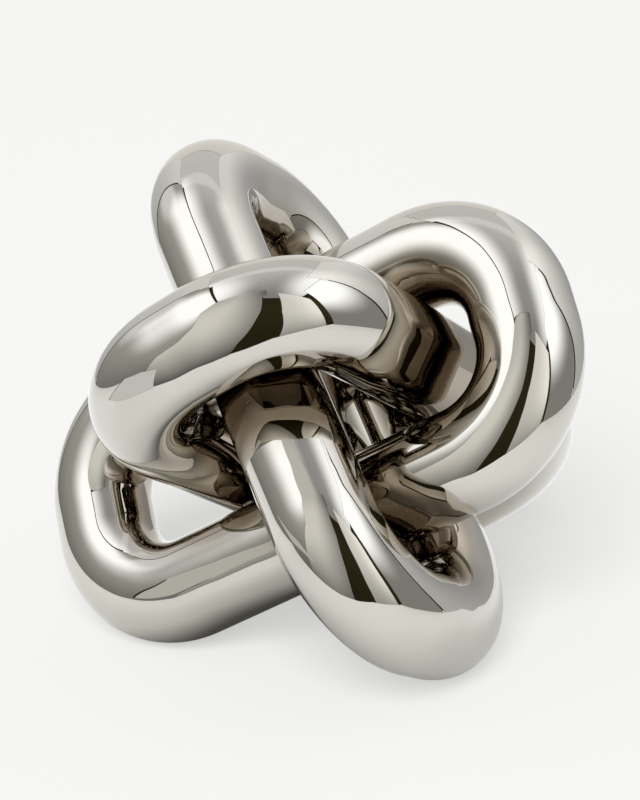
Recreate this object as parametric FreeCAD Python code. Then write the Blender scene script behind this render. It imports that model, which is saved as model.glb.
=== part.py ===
import FreeCAD, Part
import math
import os

from FreeCAD import Placement, Rotation, Vector

# A knot sculpture: three equal oblong rings of round steel tube, threaded through one another so that no
# two rings are linked by themselves, yet the three can't come apart. Millimetres, Z up, front along -Y.

# Tube
tube_diameter = 31.75
tube_wall = 1.65

# Ring: two straight legs closed by two return bends, each bend two quarter turns with a short crown between
crossing_play = 1.95  # air between two crossing tubes while the rings stand square to one another
crown_length = 8.0
eye_length = 13.5  # room between a ring's end and its neighbour's tube while the rings are centred
tangent_length = 10.0  # straight tail of a return bend, up to its butt joint with the leg

# Sleeve inside each butt joint
sleeve_length = 18.0
sleeve_wall = 1.5
sleeve_clearance = 0.1

# Tack weld where two tubes nearly touch
weld_radius = 4.0
weld_gap = 0.2  # air left between two tubes once a ring has leant against its neighbour
welds_per_pair = 2  # of the four places where two rings cross

# Pose of each ring in the knot
ring_names = ("left", "right", "back")
slide_shares = {"left": -0.61, "right": -0.72, "back": 0.385}  # of the eye, along the ring's length
lean_shares = {"left": 0.27, "right": -1.0, "back": 1.0}  # of the lean that closes a crossing, in the ring's plane
tilt_degrees = {"left": -0.5, "right": 1.0, "back": 4.6}  # about the ring's short axis
front_turn_degrees = -118.4  # about the vertical, to face the knot's front
settling_rounds = 12

# Sizes that follow
tube_radius = tube_diameter / 2
bore_radius = tube_radius - tube_wall
half_width = tube_diameter + crossing_play  # from a ring's middle to the centre line of a leg
bend_radius = half_width - crown_length / 2
straight_length = crown_length + 2 * (tube_diameter + eye_length)  # of a leg with both tails
leg_length = straight_length - 2 * tangent_length
full_lean_degrees = math.degrees(math.asin((crossing_play - weld_gap) / half_width))

x_axis = Vector(1, 0, 0)
y_axis = Vector(0, 1, 0)
z_axis = Vector(0, 0, 1)
knot_diagonal = Vector(1, 1, 1)
full_turn_degrees = 360
half_turn_degrees = 180
halfway_share = math.sqrt(1 / 2)  # of a bend's radius, along each axis, halfway round its quarter turn


def turned(axis, degrees):
    """A turn about an axis through the middle of the knot."""
    return Placement(Vector(), Rotation(axis, degrees))


def moved(offset):
    """A shift with no turn."""
    return Placement(offset, Rotation())


# Where the rings lie


def ring_in_knot(name):
    """The same ring each time, a third of a turn on about the knot's diagonal, then slid, leant and tilted."""
    step = ring_names.index(name) * full_turn_degrees / len(ring_names)
    lean = turned(z_axis, lean_shares[name] * full_lean_degrees)
    slide = moved(x_axis * (slide_shares[name] * eye_length))
    return turned(knot_diagonal, step) * turned(y_axis, tilt_degrees[name]) * lean * slide


def reach(ring, direction):
    """The point of a ring's centre line that lies furthest in a direction."""
    local = ring.Rotation.inverted().multVec(direction)
    flat = Vector(local.x, local.y, 0).normalize()
    corner_x = math.copysign(straight_length / 2, flat.x)
    corner_y = math.copysign(crown_length / 2, flat.y)
    return ring.multVec(Vector(corner_x, corner_y, 0) + flat * bend_radius)


def upright_direction(rings):
    """Square to the floor that touches the lowest bend of each of the three rings."""
    up = Vector(knot_diagonal).normalize()
    for _ in range(settling_rounds):
        first, second, third = (reach(ring, -up) for ring in rings)
        up = (second - first).cross(third - first).normalize()
    return up


def middle(rings, axis):
    """Halfway between the outermost points of the rings along an axis."""
    furthest = max(reach(ring, axis).dot(axis) for ring in rings)
    nearest = min(reach(ring, -axis).dot(axis) for ring in rings)
    return (furthest + nearest) / 2


def standing(rings):
    """Stands the knot on the floor, over the middle of its own box."""
    upright = Placement(Vector(), Rotation(upright_direction(rings), z_axis))
    stand = turned(z_axis, front_turn_degrees) * upright
    stood = [stand * ring for ring in rings]
    middle_x, middle_y = (middle(stood, axis) for axis in (x_axis, y_axis))
    floor = min(reach(ring, -z_axis).z for ring in stood) - tube_radius
    return moved(-Vector(middle_x, middle_y, floor)) * stand


# Pieces of one ring, in its own frame: legs along X, ends at both sides of the origin, flat in XY


def pipe(outer_radius, inner_radius, length, start):
    """A straight pipe along X."""
    outer = Part.makeCylinder(outer_radius, length, start, x_axis)
    return outer.cut(Part.makeCylinder(inner_radius, length, start, x_axis))


def leg_tube(side):
    return pipe(tube_radius, bore_radius, leg_length, Vector(-leg_length / 2, side * half_width, 0))


def return_bend(end):
    """Tail, quarter bend, crown, quarter bend, tail: one piece of bent tube."""
    tail = Vector(straight_length / 2 - tangent_length, half_width, 0)
    shoulder = Vector(straight_length / 2, half_width, 0)
    elbow_reach = bend_radius * halfway_share
    elbow = Vector(straight_length / 2 + elbow_reach, crown_length / 2 + elbow_reach, 0)
    crown = Vector(straight_length / 2 + bend_radius, crown_length / 2, 0)
    upper = [tail, shoulder, elbow, crown]
    lower = [Vector(point.x, -point.y, 0) for point in upper]
    runs_and_turns = [
        Part.LineSegment(upper[0], upper[1]),
        Part.Arc(upper[1], upper[2], upper[3]),
        Part.LineSegment(upper[3], lower[3]),
        Part.Arc(lower[3], lower[2], lower[1]),
        Part.LineSegment(lower[1], lower[0]),
    ]
    route = Part.Wire([piece.toShape() for piece in runs_and_turns])
    rims = [Part.Wire(Part.makeCircle(radius, tail, x_axis)) for radius in (tube_radius, bore_radius)]
    outer, inner = (route.makePipe(Part.Face(rim)) for rim in rims)
    bend = outer.cut(inner)
    if end < 0:
        bend.rotate(Vector(), z_axis, half_turn_degrees)
    return bend


def joint_sleeve(end, side):
    """A short pipe inside the butt joint, half in the leg and half in the tail of the bend."""
    outer_radius = bore_radius - sleeve_clearance
    start = Vector(end * leg_length / 2 - sleeve_length / 2, side * half_width, 0)
    return pipe(outer_radius, outer_radius - sleeve_wall, sleeve_length, start)


def ring_pieces(name):
    sides = (("upper", 1), ("lower", -1))
    pieces = {}
    for end_name, end in (("top", 1), ("foot", -1)):
        pieces[f"{name}_ring_{end_name}_bend"] = return_bend(end)
        for side_name, side in sides:
            pieces[f"{name}_ring_{end_name}_{side_name}_sleeve"] = joint_sleeve(end, side)
    for side_name, side in sides:
        pieces[f"{name}_ring_{side_name}_tube"] = leg_tube(side)
    return pieces


# Tack welds between rings


def leg_line(ring, side):
    """A point and a direction of a leg's centre line."""
    return ring.multVec(y_axis * (side * half_width)), ring.Rotation.multVec(x_axis)


def nearest_points(first_leg, second_leg):
    """The two points, one on each leg's centre line, that lie nearest to each other."""
    first_point, first_way = leg_line(*first_leg)
    second_point, second_way = leg_line(*second_leg)
    normal = first_way.cross(second_way)
    apart = second_point - first_point
    along_first = apart.cross(second_way).dot(normal) / normal.dot(normal)
    along_second = apart.cross(first_way).dot(normal) / normal.dot(normal)
    return first_point + first_way * along_first, second_point + second_way * along_second


def leg_core(ring, side):
    """The full round of a straight leg and its tails, which a weld stops at."""
    start = Vector(-straight_length / 2, side * half_width, 0)
    core = Part.makeCylinder(tube_radius, straight_length, start, x_axis)
    core.Placement = ring
    return core


def weld_bead(first_leg, second_leg):
    """A button of weld between two tubes, hollowed by both."""
    start, end = nearest_points(first_leg, second_leg)
    bead = Part.makeCylinder(weld_radius, start.distanceToPoint(end), start, end - start)
    return bead.cut(leg_core(*first_leg)).cut(leg_core(*second_leg))


def crossings(first_ring, second_ring):
    """The four crossings of two rings' legs, the narrowest first, each with its air."""
    found = []
    for first_side in (1, -1):
        for second_side in (1, -1):
            legs = (first_ring, first_side), (second_ring, second_side)
            start, end = nearest_points(*legs)
            found.append((start.distanceToPoint(end) - tube_diameter, legs))
    return sorted(found, key=lambda crossing: crossing[0])


def tack_welds(rings):
    """Two welds for each pair of rings, at the two crossings where the tubes lie nearest."""
    welds = {}
    for index, name in enumerate(ring_names):
        neighbour = ring_names[(index + 1) % len(ring_names)]
        pair = crossings(rings[name], rings[neighbour])
        print(name, neighbour, "air at the crossings:", ", ".join(f"{air:.2f}" for air, _ in pair))
        for number, (_, legs) in enumerate(pair[:welds_per_pair], start=1):
            welds[f"{name}_{neighbour}_weld_{number}"] = weld_bead(*legs)
    return welds


def main():
    rings = {name: ring_in_knot(name) for name in ring_names}
    stand = standing(list(rings.values()))
    rings = {name: stand * ring for name, ring in rings.items()}
    pieces = tack_welds(rings)
    for name, ring in rings.items():
        for piece_name, piece in ring_pieces(name).items():
            piece.Placement = ring * piece.Placement
            pieces[piece_name] = piece
    os.makedirs("parts", exist_ok=True)
    for name, piece in pieces.items():
        piece.exportStep(f"parts/{name}.step")
    print(len(pieces), "pieces, half width", half_width, "bend radius", bend_radius, "leg", leg_length)


main()
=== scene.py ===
import math

import bmesh
import bpy
import numpy as np
from mathutils import Matrix, Vector


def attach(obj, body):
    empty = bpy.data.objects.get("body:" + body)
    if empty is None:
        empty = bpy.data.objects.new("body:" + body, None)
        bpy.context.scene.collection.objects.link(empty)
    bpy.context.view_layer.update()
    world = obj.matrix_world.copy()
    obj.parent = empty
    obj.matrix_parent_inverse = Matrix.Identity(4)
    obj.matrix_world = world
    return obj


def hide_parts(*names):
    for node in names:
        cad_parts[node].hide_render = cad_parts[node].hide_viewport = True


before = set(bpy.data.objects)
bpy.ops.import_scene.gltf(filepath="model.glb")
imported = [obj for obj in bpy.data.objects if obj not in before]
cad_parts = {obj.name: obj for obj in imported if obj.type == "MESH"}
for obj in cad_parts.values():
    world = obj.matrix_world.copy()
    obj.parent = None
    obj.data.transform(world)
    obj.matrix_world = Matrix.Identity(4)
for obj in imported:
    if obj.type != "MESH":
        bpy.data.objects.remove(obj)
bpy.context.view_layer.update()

# A knot sculpture of three oblong rings of polished steel tube. Metres, Z up, front along -Y.

# Tube and ring sizes, as in the solids
TUBE_RADIUS = 0.015875
TUBE_WALL = 0.00165
CROSSING_PLAY = 0.00195
CROWN_LENGTH = 0.008
EYE_LENGTH = 0.0135
TANGENT_LENGTH = 0.010
HALF_WIDTH = 2 * TUBE_RADIUS + CROSSING_PLAY
BEND_RADIUS = HALF_WIDTH - CROWN_LENGTH / 2
STRAIGHT_LENGTH = CROWN_LENGTH + 2 * (2 * TUBE_RADIUS + EYE_LENGTH)
LEG_LENGTH = STRAIGHT_LENGTH - 2 * TANGENT_LENGTH

RING_NAMES = ("left", "right", "back")
BODY = "root"

# Fineness of the visible surfaces
STEPS_AROUND = 144
STEPS_PER_QUARTER = 48
STEPS_PER_TAIL = 4
STEPS_PER_CROWN = 6
STEPS_PER_LEG = 24
QUARTER_DEGREES = 90

# Painted shade: how closely other tube faces a place on the surface, where the steel's colour is
# darkened
PAINTED_SHADE = "painted_shade"
PAINTED_SHADE_REACHES = (0.006, 0.012, 0.020, 0.032)  # distances out from the surface that are tried
PAINTED_SHADE_RANGE = (0.10, 0.55)  # from open to full painted shade

# Camera
CAMERA_PLACE = (0.00288, -0.62867, 0.28662)
CAMERA_RIGHT = (0.997932, -0.021017, -0.060749)
CAMERA_DOWN = (-0.064280, -0.319053, -0.945554)
SENSOR_SIZE = 36.0  # millimetres, as is the lens
LENS = 97.27
CLIP_START = 0.01
CLIP_END = 50


def rgb(red, green, blue):
    """A linear colour with full alpha."""
    return (red, green, blue, 1.0)


# Polished steel: a slow tint and waviness, and a fine unevenness of its gloss
STEEL_COLOUR = rgb(0.615, 0.575, 0.515)
STEEL_STAIN = rgb(0.585, 0.545, 0.485)
# Painted shade: the dark brown steel colour laid where other tube closely faces the surface
STEEL_PAINTED_SHADE = rgb(0.38, 0.33, 0.265)
SLOW_NOISE = {"Scale": 70.0, "Detail": 1.0}
FINE_NOISE = {"Scale": 900.0, "Detail": 3.0}
FINE_RANGE = {"From Min": 0.3, "From Max": 0.7}
POLISHED_ROUGHNESS = {"To Min": 0.02, "To Max": 0.035}
WAVINESS = {"Strength": 1.0, "Distance": 0.00013}

# Steel with a grain: drawn sleeves and rippled welds
SLEEVE_GRAIN = {"Scale": 1500.0, "Detail": 4.0}
SLEEVE_ROUGHNESS = {"To Min": 0.25, "To Max": 0.45}
SLEEVE_RELIEF = {"Strength": 0.3, "Distance": 0.00002}
WELD_COLOUR = rgb(0.58, 0.54, 0.49)
WELD_GRAIN = {"Scale": 700.0, "Detail": 2.0}
WELD_ROUGHNESS = {"To Min": 0.18, "To Max": 0.35}
WELD_RELIEF = {"Strength": 0.5, "Distance": 0.0001}

# Colours of the studio
LIGHT_COLOUR = rgb(0.94, 0.97, 1.0)
WALL_COLOUR = rgb(0.95, 0.975, 0.955)
GLOW_COLOUR = rgb(0.86, 0.92, 1.0)
BLACK_CLOTH = rgb(0.047, 0.039, 0.018)
BACKGROUND = rgb(0.905, 0.905, 0.888)
FLOOR_COLOUR = rgb(0.14, 0.139, 0.135)
TABLE_COLOUR = rgb(0.90, 0.90, 0.90)
TABLE_SHADE = rgb(0.10, 0.085, 0.065)
WORLD_COLOUR = rgb(0.72, 0.72, 0.72)

# Light tent: planes that its cloths hang on, and how its light and its hems are made
FRONT_Y = -0.30
FRONT_FILL_Y = -0.275
RIGHT_X = 0.32
LEFT_X = -0.45
TOP_Z = 0.90
LIGHT_LEVEL = 1.2
GLOW_CORE_SHARE = 0.42  # of a glow's radii, evenly bright
FAR = 9.0  # a radius that leaves a glow even along an axis
KNOT_MIDDLE = (0.0, 0.0, 0.075)
HEM_WIDTH = 0.005
HEM_SETBACK = 1.013  # of the distance from the knot's middle

# Outlines on those planes: place along the cloth and height, or for the top cloth X and Y
FRONT_LEFT_OUTLINE = (
    (-0.39, -0.25), (-0.38, 0.04), (-0.35, 0.12), (-0.32, 0.20), (-0.29, 0.26), (-0.30, 0.32),
    (-0.375, 0.50), (-0.36, 0.71), (-0.30, 0.74), (0.06, 0.74), (0.055, 0.53), (0.026, 0.47),
    (0.022, 0.25), (0.0, 0.12), (-0.022, 0.0), (-0.045, -0.25),
)
FRONT_RIGHT_CORNERS = (
    (0.088, -0.28, -0.25), (0.395, -0.40, -0.25), (0.395, -0.40, 0.47), (0.12, -0.29, 0.52),
    (0.105, -0.285, 0.35), (0.088, -0.28, 0.20),
)
RIGHT_OUTLINE = ((-0.288, -0.4), (0.004, -0.4), (0.004, 0.56), (-0.288, 0.56))
RIGHT_BACK_OUTLINE = ((0.018, -0.1), (0.90, -0.1), (0.90, 0.75), (0.018, 0.75))
LEFT_OUTLINE = ((-0.62, -0.5), (0.35, -0.5), (0.35, 0.885), (-0.62, 0.885))
LEFT_BACK_OUTLINE = ((0.372, -0.1), (1.1, -0.1), (1.1, 0.885), (0.372, 0.885))
TOP_OUTLINE = (
    (-0.43, -0.355), (-0.21, -0.37), (-0.10, -0.45), (0.0, -0.60), (0.15, -0.68),
    (0.90, -0.85), (0.90, 1.2), (-0.60, 1.2), (-0.60, 0.33), (-0.42, 0.29),
)
FRONT_FILL_OUTLINE = ((-0.25, 0.0), (0.32, 0.0), (0.32, 0.25), (-0.25, 0.25))
FRONT_FILL_LEVEL = 0.8

# Fades of a cloth's light: axis, start, end, level before, level after
LOW_FADE = ("Z", -0.20, 0.24, 0.10, 1.0)
FRONT_LEFT_FADES = (("X", -0.155, 0.085, 0.85, 0.20), LOW_FADE, ("Z", 0.32, 0.62, 1.0, 0.78))
FRONT_RIGHT_FADES = (("X", 0.09, 0.36, 0.84, 1.17), LOW_FADE)
RIGHT_FADES = (("Z", 0.0, 0.3, 0.28, 0.28),)  # even, but for its glow
RIGHT_BACK_FADES = (("Z", 0.06, 0.54, 0.56, 1.28), ("Y", 0.0, 0.38, 1.0, 0.70))
LEFT_FADES = (("Z", -0.10, 0.28, 0.18, 0.42),)
LEFT_BACK_FADES = (("Z", -0.1, 0.8, 0.50, 0.84),)
TOP_FADES = (("Y", -0.60, 0.42, 0.30, 0.70),)

# Glows of lamps behind a cloth: centre, radii, strength
RIGHT_GLOWS = (((RIGHT_X, -0.18, 0.475), (FAR, 0.31, 0.372), 1.35),)
LEFT_GLOWS = (
    ((LEFT_X, -0.14, 0.68), (FAR, 0.435, 0.52), 1.15),
    ((LEFT_X, 0.23, 0.42), (FAR, 0.27, 0.23), 0.43),
)
TOP_GLOWS = (
    ((-0.72, -0.13, TOP_Z), (0.74, 0.75, FAR), 1.05),
    ((0.74, -0.18, TOP_Z), (0.60, 0.78, FAR), 1.0),
    ((0.0, 0.34, TOP_Z), (0.95, 0.13, FAR), 0.17),
)

# Low shelf, left of the knot
SHELF_NEAR_BACK = (-0.128, -0.043, 0.062)
SHELF_FAR_BACK = (-0.445, -0.140, 0.018)
SHELF_OUTLINE = (
    SHELF_NEAR_BACK, (-0.078, -0.100, 0.060), (-0.275, -0.30, 0.022), (-0.445, -0.30, 0.018),
    SHELF_FAR_BACK,
)
SHELF_THICKNESS = 0.001
SHELF_UNDERSIDE_LEVEL = 0.72
SHELF_TOP_LEVEL = 0.90
SHELF_NEAR_EDGE = 0.003  # depth of the dark edge behind the shelf, at its two ends
SHELF_FAR_EDGE = 0.010

# Dark room behind the gaps between the cloths
FRONT_DARK_Y = -0.75
LEFT_DARK_X = -0.55
RIGHT_DARK_X = 0.41
TOP_DARK_Z = 0.95
FRONT_DARK_OUTLINE = ((-1.1, -0.5), (1.1, -0.5), (1.1, 1.2), (-1.1, 1.2))
LEFT_DARK_OUTLINE = ((-0.8, -0.5), (1.2, -0.5), (1.2, 1.0), (-0.8, 1.0))
RIGHT_DARK_OUTLINE = ((-0.8, -0.5), (0.8, -0.5), (0.8, 0.60), (-0.8, 0.60))
TOP_DARK_OUTLINE = ((-1.1, -1.0), (1.1, -1.0), (1.1, 1.3), (-1.1, 1.3))

# Floor, for the camera
FLOOR_OUTLINE = ((-6.0, -6.0), (6.0, -6.0), (6.0, 6.0), (-6.0, 6.0))
FLOOR_GLOW = 0.605
FLOOR_LAMP_LEVEL = 9.6
FLOOR_LAMP_WIDTH_DEGREES = 36
FLOOR_LAMP_FROM = (-0.15, -0.95, 0.74)

# Table, for the metal: its front edge from left to right, then its two back corners
TABLE_HEIGHT = -0.0005
TABLE_OUTLINE = (
    (-2.0, -0.09), (-0.30, -0.13), (-0.05, -0.175), (0.0, -0.20), (0.06, -0.25), (0.30, -0.30),
    (2.0, -0.30), (2.0, 3.0), (-2.0, 3.0),
)
# Painted shadow on the table: its glow dims towards the feet, and it turns to a dark shade under
# the knot
FEET_MIDDLE = (0.012, -0.008, 0.0)
UNDER_KNOT = (-0.018, 0.010, 0.0)
# Start and end of a rise with the distance from a place, level before and level after
TABLE_GLOW_RISE = (0.01, 0.125, 0.06, 0.37)
TABLE_LIT_RISE = (0.028, 0.056, 0.22, 1.0)

# Sockets of a Mix node for colours, which share their names with others
MIX_FIRST, MIX_SECOND, MIX_RESULT = 6, 7, 2


# Nodes

class Nodes:
    """Short ways to make and join the nodes of one material or of the world."""

    def __init__(self, owner, output_kind="ShaderNodeOutputMaterial"):
        self.owner = owner
        self.owner.use_nodes = True
        self.tree = owner.node_tree
        self.tree.nodes.clear()
        self.output = self.tree.nodes.new(output_kind)

    def give(self, node, key, value):
        """Joins or sets a node's input, known by its name or its number."""
        socket = node.inputs[key]
        if isinstance(value, bpy.types.NodeSocket):
            self.tree.links.new(value, socket)
        else:
            socket.default_value = value

    def add(self, kind, settings=(), *values, **named_values):
        """A node, its settings, its first inputs in order and its inputs by name."""
        node = self.tree.nodes.new(kind)
        for name, value in dict(settings).items():
            setattr(node, name, value)
        for number, value in enumerate(values):
            self.give(node, number, value)
        for name, value in named_values.items():
            self.give(node, name.replace("_", " "), value)
        return node

    def place(self):
        return self.add("ShaderNodeTexCoord").outputs["Object"]

    def mixed_colour(self, share, first, second):
        node = self.add("ShaderNodeMix", {"data_type": "RGBA"}, Factor=share)
        self.give(node, MIX_FIRST, first)
        self.give(node, MIX_SECOND, second)
        return node.outputs[MIX_RESULT]

    def calculated(self, operation, first, second):
        return self.add("ShaderNodeMath", {"operation": operation}, first, second).outputs[0]

    def vector_calculated(self, operation, *values):
        return self.add("ShaderNodeVectorMath", {"operation": operation}, *values).outputs

    def smooth_level(self, value, start, end, before, after):
        """A level that runs smoothly from one value to another."""
        level = self.add("ShaderNodeMapRange", {"interpolation_type": "SMOOTHSTEP"}, Value=value,
                         From_Min=start, From_Max=end, To_Min=before, To_Max=after)
        return level.outputs["Result"]

    def emission(self, colour, strength):
        return self.add("ShaderNodeEmission", Color=colour, Strength=strength).outputs[0]

    def matt(self, colour):
        return self.add("ShaderNodeBsdfDiffuse", Color=colour).outputs[0]

    def both(self, first, second):
        return self.add("ShaderNodeAddShader", (), first, second).outputs[0]

    def show(self, shader):
        self.give(self.output, "Surface", shader)
        return self.owner


def material_nodes(name):
    return Nodes(bpy.data.materials.new(name))


# Finishes

def polished_steel():
    """Mirror steel, a little uneven from the polishing wheel, and darkened by painted shade where
    other tube faces it closely.
    """
    nodes = material_nodes("polished_steel_finish")
    place = nodes.place()
    slow = nodes.add("ShaderNodeTexNoise", Vector=place, **SLOW_NOISE).outputs["Fac"]
    fine = nodes.add("ShaderNodeTexNoise", Vector=place, **FINE_NOISE).outputs["Fac"]
    tint = nodes.mixed_colour(slow, STEEL_COLOUR, STEEL_STAIN)
    rough = nodes.add("ShaderNodeMapRange", Value=fine, **FINE_RANGE, **POLISHED_ROUGHNESS)
    bump = nodes.add("ShaderNodeBump", Height=slow, **WAVINESS)
    # Painted shade: the colour runs to a dark brown where other tube faces the surface closely
    painted_shade = nodes.add("ShaderNodeAttribute", {"attribute_name": PAINTED_SHADE}).outputs["Fac"]
    colour = nodes.mixed_colour(painted_shade, tint, STEEL_PAINTED_SHADE)
    steel = nodes.add("ShaderNodeBsdfPrincipled", Metallic=1.0, Base_Color=colour,
                      Roughness=rough.outputs["Result"], Normal=bump.outputs["Normal"])
    return nodes.show(steel.outputs[0])


def grained_steel(name, colour, grain, roughness, relief):
    """Satin steel whose grain shows in its gloss and its relief."""
    nodes = material_nodes(name)
    noise = nodes.add("ShaderNodeTexNoise", Vector=nodes.place(), **grain).outputs["Fac"]
    rough = nodes.add("ShaderNodeMapRange", Value=noise, **roughness)
    bump = nodes.add("ShaderNodeBump", Height=noise, **relief)
    steel = nodes.add("ShaderNodeBsdfPrincipled", Metallic=1.0, Base_Color=colour,
                      Roughness=rough.outputs["Result"], Normal=bump.outputs["Normal"])
    return nodes.show(steel.outputs[0])


# Rings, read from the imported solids

def points(node):
    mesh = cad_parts[node].data
    flat = np.empty(len(mesh.vertices) * 3)
    mesh.vertices.foreach_get("co", flat)
    return flat.reshape(-1, 3)


def halfway(values):
    return (values.min(axis=0) + values.max(axis=0)) / 2


def ring_frame(name):
    """The ring's own frame: legs along X, the upper leg towards +Y, the top bend towards +X."""
    upper, lower = points(f"{name}_ring_upper_tube"), points(f"{name}_ring_lower_tube")
    top, foot = points(f"{name}_ring_top_bend"), points(f"{name}_ring_foot_bend")
    centred = [leg - leg.mean(axis=0) for leg in (upper, lower)]
    ways = [np.linalg.svd(leg, full_matrices=False)[2][0] for leg in centred]
    towards_top = halfway(top) - halfway(foot)
    along = sum(way * math.copysign(1, way @ towards_top) for way in ways)
    along /= np.linalg.norm(along)
    across = halfway(upper) - halfway(lower)
    across -= along * (across @ along)
    across /= np.linalg.norm(across)
    square = np.cross(along, across)
    turn = np.array([along, across, square]).T
    local = np.vstack([upper, lower]) @ turn
    centre = turn @ halfway(local)
    matrix = Matrix(turn.tolist()).to_4x4()
    matrix.translation = Vector(centre)
    return matrix


def tube_distance(places, matrices):
    """Distance from each place to the nearest tube surface of the rings."""
    nearest = np.full(len(places), np.inf)
    for matrix in matrices:
        inverse = np.array(matrix.inverted())
        local = places @ inverse[:3, :3].T + inverse[:3, 3]
        past = np.abs(local[:, :2]) - (STRAIGHT_LENGTH / 2, CROWN_LENGTH / 2)
        outside = np.linalg.norm(np.maximum(past, 0), axis=1)
        inside = np.minimum(past.max(axis=1), 0)
        in_plane = outside + inside - BEND_RADIUS
        nearest = np.minimum(nearest, np.hypot(in_plane, local[:, 2]) - TUBE_RADIUS)
    return nearest


def painted_shade_of(places, normals, matrices):
    """The painted shade of each place, from 0, open, to 1, fully shaded where other tube faces it
    closely.
    """
    total = np.zeros(len(places))
    for reach in PAINTED_SHADE_REACHES:
        total += 1 - np.clip(tube_distance(places + normals * reach, matrices) / reach, 0, 1)
    share = total / len(PAINTED_SHADE_REACHES)
    low, high = PAINTED_SHADE_RANGE
    share = np.clip((share - low) / (high - low), 0, 1)
    return share * share * (3 - 2 * share)


# Tubes

def in_scene(name, data):
    thing = bpy.data.objects.new(name, data)
    bpy.context.scene.collection.objects.link(thing)
    return thing


def swept_tube(name, route, matrix, matrices):
    """A hollow tube along a flat route of (point, way) pairs, its two walls joined at the rims."""
    mesh = bmesh.new()
    normals = []
    loops = []
    for radius, path in ((TUBE_RADIUS, route), (TUBE_RADIUS - TUBE_WALL, route[::-1])):
        for point, way in path:
            side = Vector((-way.y, way.x, 0))
            loop = []
            for step in range(STEPS_AROUND):
                angle = 2 * math.pi * step / STEPS_AROUND
                offset = side * math.cos(angle) + Vector((0, 0, math.sin(angle)))
                loop.append(mesh.verts.new(matrix @ (point + offset * radius)))
                normals.append(matrix.to_3x3() @ offset)
            loops.append(loop)
    for first, second in zip(loops, loops[1:] + loops[:1]):
        for step in range(STEPS_AROUND):
            following = (step + 1) % STEPS_AROUND
            mesh.faces.new((first[step], second[step], second[following], first[following]))
    for face in mesh.faces:
        face.smooth = True
    rims = (loops[0], loops[len(route) - 1], loops[len(route)], loops[-1])
    for rim in rims:
        for step in range(STEPS_AROUND):
            mesh.edges.get((rim[step], rim[(step + 1) % STEPS_AROUND])).smooth = False
    bmesh.ops.recalc_face_normals(mesh, faces=mesh.faces)
    data = bpy.data.meshes.new(name)
    mesh.to_mesh(data)
    mesh.free()
    places = np.array([vertex.co for vertex in data.vertices])
    # Painted shade on the points, for the steel's colour, darker where other tube faces the surface
    # closely
    painted_shade = painted_shade_of(places, np.array(normals), matrices)
    layer = data.attributes.new(PAINTED_SHADE, "FLOAT", "POINT")
    layer.data.foreach_set("value", painted_shade.astype(np.float32))
    return in_scene(name, data)


def run(start, end, steps):
    """Evenly spaced points of a straight run, its end left out."""
    way = (end - start).normalized()
    return [(start.lerp(end, step / steps), way) for step in range(steps)]


def bend_route(end):
    """Tail, quarter turn, crown, quarter turn, tail, about the ring's own X axis."""
    shoulder = STRAIGHT_LENGTH / 2
    tail_start = Vector((shoulder - TANGENT_LENGTH, HALF_WIDTH, 0))
    route = run(tail_start, Vector((shoulder, HALF_WIDTH, 0)), STEPS_PER_TAIL)
    for side in (1, -1):
        centre = Vector((shoulder, side * CROWN_LENGTH / 2, 0))
        first_degrees = QUARTER_DEGREES if side > 0 else 0
        for step in range(STEPS_PER_QUARTER):
            angle = math.radians(first_degrees - QUARTER_DEGREES * step / STEPS_PER_QUARTER)
            outward = Vector((math.cos(angle), math.sin(angle), 0))
            route.append((centre + outward * BEND_RADIUS, Vector((outward.y, -outward.x, 0))))
        if side > 0:
            crown_x = shoulder + BEND_RADIUS
            crown_top = Vector((crown_x, CROWN_LENGTH / 2, 0))
            route += run(crown_top, Vector((crown_x, -CROWN_LENGTH / 2, 0)), STEPS_PER_CROWN)
    tail_end = Vector((shoulder - TANGENT_LENGTH, -HALF_WIDTH, 0))
    route += run(Vector((shoulder, -HALF_WIDTH, 0)), tail_end, STEPS_PER_TAIL)
    route.append((tail_end, Vector((-1, 0, 0))))
    turn = Matrix.Rotation(0 if end > 0 else math.pi, 3, "Z")
    return [(turn @ point, turn @ way) for point, way in route]


def leg_route(side):
    start = Vector((-LEG_LENGTH / 2, side * HALF_WIDTH, 0))
    end = Vector((LEG_LENGTH / 2, side * HALF_WIDTH, 0))
    return run(start, end, STEPS_PER_LEG) + [(end, Vector((1, 0, 0)))]


def build_rings(steel):
    matrices = {name: ring_frame(name) for name in RING_NAMES}
    pieces = []
    for name, matrix in matrices.items():
        routes = {
            "top_bend": bend_route(1),
            "foot_bend": bend_route(-1),
            "upper_tube": leg_route(1),
            "lower_tube": leg_route(-1),
        }
        for part, route in routes.items():
            node = f"{name}_ring_{part}"
            piece = swept_tube(f"{name}_{part}_polished", route, matrix, matrices.values())
            piece.data.materials.append(steel)
            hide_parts(node)
            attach(piece, BODY)
            pieces.append(piece)
    return pieces


def finish_kept_nodes(sleeve, weld):
    for node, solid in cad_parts.items():
        finish = sleeve if node.endswith("_sleeve") else weld if "_weld_" in node else None
        if finish:
            for place in solid.material_slots:
                place.material = finish


# Studio: a tent of lit cloths with dark gaps between them, a floor for the camera's sight and a
# table for the metal's

def flat_sheet(name, corners, material):
    """A flat sheet of the studio, which isn't part of the object."""
    data = bpy.data.meshes.new(name)
    data.from_pydata([Vector(corner) for corner in corners], [], [tuple(range(len(corners)))])
    data.materials.append(material)
    sheet = in_scene(name, data)
    return sheet


def unseen_sheet(name, corners, material):
    """A sheet that the camera doesn't see."""
    sheet = flat_sheet(name, corners, material)
    sheet.visible_camera = False
    return sheet


def on_x(x, outline):
    return [(x, along, height) for along, height in outline]


def on_y(y, outline):
    return [(along, y, height) for along, height in outline]


def on_z(height, outline):
    return [(x, y, height) for x, y in outline]


def fade(nodes, scale, axis, start, end, before, after):
    """A level that runs smoothly between two places along an axis."""
    along = nodes.add("ShaderNodeSeparateXYZ", Vector=nodes.place()).outputs[axis]
    return nodes.smooth_level(along, start, end, before * scale, after * scale)


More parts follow.
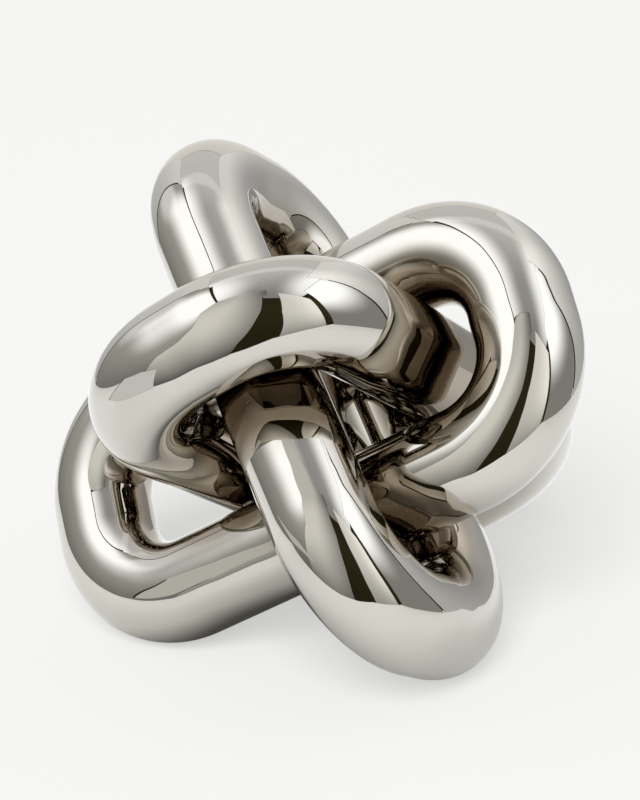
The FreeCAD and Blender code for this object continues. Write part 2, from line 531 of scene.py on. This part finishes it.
def glow(nodes, centre, radii, strength):
    """The soft patch of a lamp behind the cloth, full within its core and gone at its radii."""
    offset = nodes.vector_calculated("SUBTRACT", nodes.place(), centre)["Vector"]
    share = nodes.vector_calculated("DIVIDE", offset, radii)["Vector"]
    reach = nodes.vector_calculated("LENGTH", share)["Value"]
    return nodes.smooth_level(reach, GLOW_CORE_SHARE, 1.0, strength * LIGHT_LEVEL, 0.0)


def rising_from(nodes, centre, start, end, before, after):
    """A level that rises smoothly with the distance from a place on the table."""
    reach = nodes.vector_calculated("DISTANCE", nodes.place(), centre)["Value"]
    return nodes.smooth_level(reach, start, end, before, after)


def combined(nodes, operation, values):
    """The product, or the sum, of several levels."""
    total = values[0]
    for value in values[1:]:
        total = nodes.calculated(operation, total, value)
    return total


def lit_finish(name, colour, level):
    nodes = material_nodes(name + "_light")
    return nodes.show(nodes.emission(colour, level))


def black_sheet(name, corners):
    nodes = material_nodes(name + "_black")
    sheet = unseen_sheet(name, corners, nodes.show(nodes.matt(BLACK_CLOTH)))
    sheet.visible_diffuse = False


def cloth(name, corners, fades, glows=(), colour=WALL_COLOUR):
    """A cloth wall of the tent, lit from behind, with a dark hem just behind its edge."""
    nodes = material_nodes(name + "_light")
    levels = [fade(nodes, LIGHT_LEVEL, *fades[0])] + [fade(nodes, 1, *terms) for terms in fades[1:]]
    light = nodes.emission(colour, combined(nodes, "MULTIPLY", levels))
    if glows:
        level = combined(nodes, "ADD", [glow(nodes, *terms) for terms in glows])
        light = nodes.both(light, nodes.emission(GLOW_COLOUR, level))
    unseen_sheet(name, corners, nodes.show(light))
    middle = sum((Vector(corner) for corner in corners), Vector()) / len(corners)
    eye = Vector(KNOT_MIDDLE)
    hem = []
    for corner in corners:
        outer = Vector(corner) + (Vector(corner) - middle).normalized() * HEM_WIDTH
        hem.append(eye + (outer - eye) * HEM_SETBACK)
    black_sheet(name + "_hem", hem)


def build_low_shelf():
    """A low sheet: its grey underside shows in the lowest ring, its white top in the front one."""
    top = [Vector(corner) + Vector((0, 0, SHELF_THICKNESS)) for corner in SHELF_OUTLINE]
    sides = (("low_shelf_underside", SHELF_OUTLINE, WALL_COLOUR, SHELF_UNDERSIDE_LEVEL),
             ("low_shelf_top", top, LIGHT_COLOUR, SHELF_TOP_LEVEL))
    for name, corners, colour, level in sides:
        sheet = unseen_sheet(name, corners, lit_finish(name, colour, level))
        sheet.visible_diffuse = False
    black_sheet("low_shelf_edge", (SHELF_NEAR_BACK, SHELF_FAR_BACK,
                                   Vector(SHELF_FAR_BACK) + Vector((0, SHELF_FAR_EDGE, 0)),
                                   Vector(SHELF_NEAR_BACK) + Vector((0, SHELF_NEAR_EDGE, 0))))


def build_tent():
    cloth("front_left_cloth", on_y(FRONT_Y, FRONT_LEFT_OUTLINE), FRONT_LEFT_FADES)
    cloth("front_right_cloth", FRONT_RIGHT_CORNERS, FRONT_RIGHT_FADES)
    cloth("right_cloth", on_x(RIGHT_X, RIGHT_OUTLINE), RIGHT_FADES, RIGHT_GLOWS)
    cloth("right_back_cloth", on_x(RIGHT_X, RIGHT_BACK_OUTLINE), RIGHT_BACK_FADES,
          colour=LIGHT_COLOUR)
    cloth("left_cloth", on_x(LEFT_X, LEFT_OUTLINE), LEFT_FADES, LEFT_GLOWS)
    cloth("left_back_cloth", on_x(LEFT_X, LEFT_BACK_OUTLINE), LEFT_BACK_FADES, colour=LIGHT_COLOUR)
    cloth("top_cloth", on_z(TOP_Z, TOP_OUTLINE), TOP_FADES, TOP_GLOWS, LIGHT_COLOUR)
    build_low_shelf()
    fill = unseen_sheet("front_fill", on_y(FRONT_FILL_Y, FRONT_FILL_OUTLINE),
                        lit_finish("front_fill", LIGHT_COLOUR, FRONT_FILL_LEVEL))
    fill.visible_glossy = False


def build_dark_room():
    black_sheet("front_dark", on_y(FRONT_DARK_Y, FRONT_DARK_OUTLINE))
    black_sheet("left_dark", on_x(LEFT_DARK_X, LEFT_DARK_OUTLINE))
    black_sheet("right_dark", on_x(RIGHT_DARK_X, RIGHT_DARK_OUTLINE))
    black_sheet("top_dark", on_z(TOP_DARK_Z, TOP_DARK_OUTLINE))


def build_floor():
    """The wide pale floor that only the camera sees."""
    nodes = material_nodes("floor_pale")
    finish = nodes.both(nodes.emission(BACKGROUND, FLOOR_GLOW), nodes.matt(FLOOR_COLOUR))
    floor = flat_sheet("floor", on_z(0, FLOOR_OUTLINE), nodes.show(finish))
    floor.visible_glossy = False
    floor.visible_diffuse = False
    floor.visible_shadow = False
    return floor


def build_table():
    """The table that the metal sees, which ends just in front of the knot and has a painted shadow
    under it and near its feet.
    """
    nodes = material_nodes("table_pale")
    # Painted shadow: the glow dims towards the feet, and the lit share falls away under the knot
    level = rising_from(nodes, FEET_MIDDLE, *TABLE_GLOW_RISE)
    pale = nodes.both(nodes.matt(TABLE_COLOUR), nodes.emission(LIGHT_COLOUR, level))
    lit_share = rising_from(nodes, UNDER_KNOT, *TABLE_LIT_RISE)
    finish = nodes.add("ShaderNodeMixShader", (), lit_share, nodes.matt(TABLE_SHADE), pale)
    unseen_sheet("table", on_z(TABLE_HEIGHT, TABLE_OUTLINE), nodes.show(finish.outputs[0]))


def group(name, members):
    """A named set of objects for a lamp, outside the scene's own collections."""
    collection = bpy.data.collections.new(name)
    for member in members:
        collection.objects.link(member)
    return collection


def build_floor_lamp(floor, pieces):
    """A soft lamp from the front for the floor alone, so that the shadow falls behind the feet."""
    light = bpy.data.lights.new("floor_lamp", "SUN")
    light.energy = FLOOR_LAMP_LEVEL
    light.angle = math.radians(FLOOR_LAMP_WIDTH_DEGREES)
    lamp = in_scene("floor_lamp", light)
    lamp.rotation_euler = Vector(FLOOR_LAMP_FROM).to_track_quat("Z", "Y").to_euler()
    lamp.visible_glossy = False
    lamp.light_linking.receiver_collection = group("floor_lamp_lights", [floor])
    lamp.light_linking.blocker_collection = group("floor_lamp_shadows", pieces)


def build_world():
    """Pale where the camera or a mirror looks at it, and a little dimmer as a light."""
    world = bpy.data.worlds.new("backdrop")
    bpy.context.scene.world = world
    nodes = Nodes(world, "ShaderNodeOutputWorld")
    rays = nodes.add("ShaderNodeLightPath").outputs
    seen = nodes.calculated("MAXIMUM", rays["Is Camera Ray"], rays["Is Glossy Ray"])
    seen = nodes.calculated("MAXIMUM", seen, rays["Is Transmission Ray"])
    dim = nodes.add("ShaderNodeBackground", Color=WORLD_COLOUR).outputs[0]
    pale = nodes.add("ShaderNodeBackground", Color=BACKGROUND).outputs[0]
    nodes.show(nodes.add("ShaderNodeMixShader", (), seen, dim, pale).outputs[0])


def build_camera():
    lens = bpy.data.cameras.new("camera")
    lens.sensor_fit = "AUTO"
    lens.sensor_width = SENSOR_SIZE
    lens.lens = LENS
    lens.clip_start = CLIP_START
    lens.clip_end = CLIP_END
    camera = in_scene("camera", lens)
    right, up = Vector(CAMERA_RIGHT), -Vector(CAMERA_DOWN)
    turn = Matrix((right, up, right.cross(up))).transposed()
    camera.matrix_world = Matrix.Translation(CAMERA_PLACE) @ turn.to_4x4()
    bpy.context.scene.camera = camera


build_camera()
rings = build_rings(polished_steel())
finish_kept_nodes(
    sleeve=grained_steel("sleeve_steel_finish", STEEL_COLOUR, SLEEVE_GRAIN, SLEEVE_ROUGHNESS,
                         SLEEVE_RELIEF),
    weld=grained_steel("weld_metal_finish", WELD_COLOUR, WELD_GRAIN, WELD_ROUGHNESS, WELD_RELIEF))
build_floor_lamp(build_floor(), rings)
build_table()
build_tent()
build_dark_room()
build_world()
bpy.context.scene.view_settings.view_transform = "Standard"
